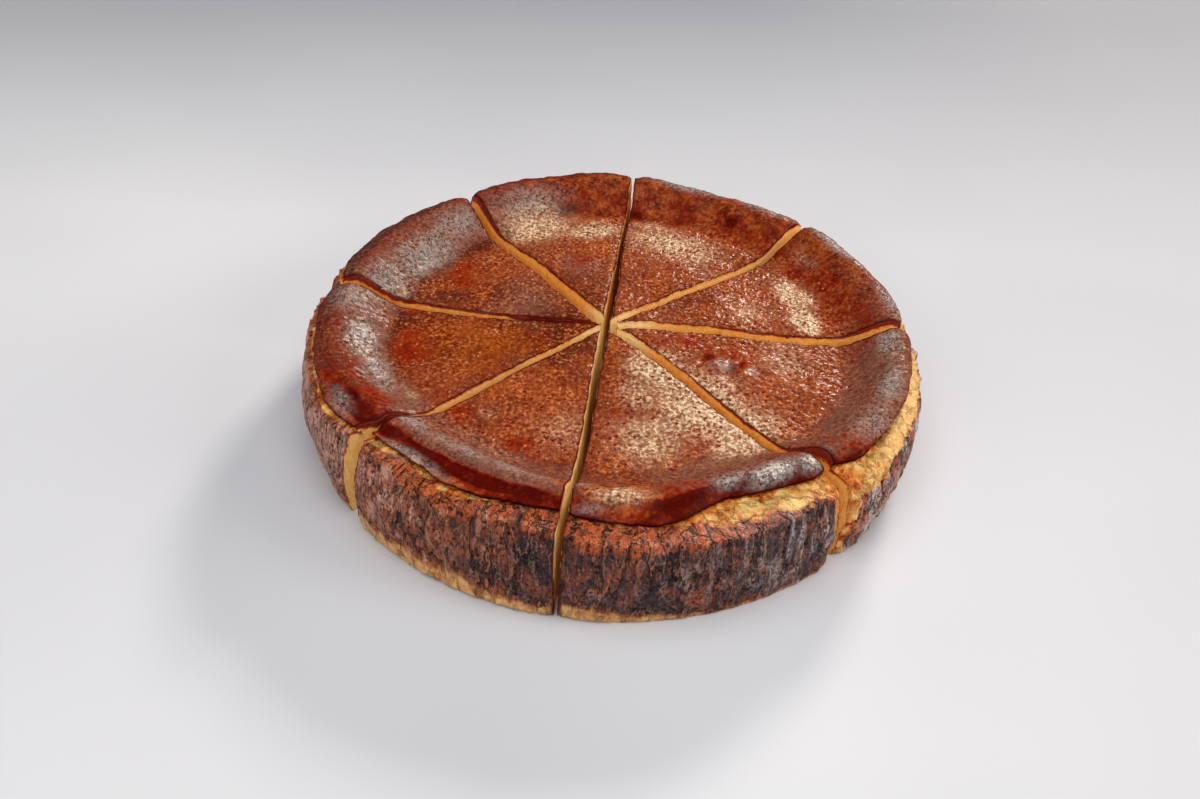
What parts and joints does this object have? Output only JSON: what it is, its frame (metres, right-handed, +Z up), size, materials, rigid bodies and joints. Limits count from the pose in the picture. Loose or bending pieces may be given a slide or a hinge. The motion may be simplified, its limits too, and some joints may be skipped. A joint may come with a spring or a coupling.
{
  "type": "basque cheesecake",
  "caption": "Round basque cheesecake with a dark glossy top, a sunken middle and a rolled rim, cut through into wedges that still stand together as one whole cake.",
  "frame": {"origin": "on the surface the cake stands on, at the middle of its outline", "axes": "+Z up; +X to the right and -Y to the front of the reference view, whose front cut runs towards -Y"},
  "size_m": [0.2385, 0.2366, 0.044],
  "materials": {
    "baked_cheesecake": "glossy burnt mahogany skin on top, dull dark brown wrinkled side, golden torn ledge under the rim, pale ochre curd on the cut faces"
  },
  "bodies": {
    "root": {"slice_1": "baked_cheesecake", "slice_2": "baked_cheesecake", "slice_3": "baked_cheesecake", "slice_4": "baked_cheesecake", "slice_5": "baked_cheesecake", "slice_6": "baked_cheesecake", "slice_7": "baked_cheesecake", "slice_8": "baked_cheesecake"}
  },
  "joints": []
}
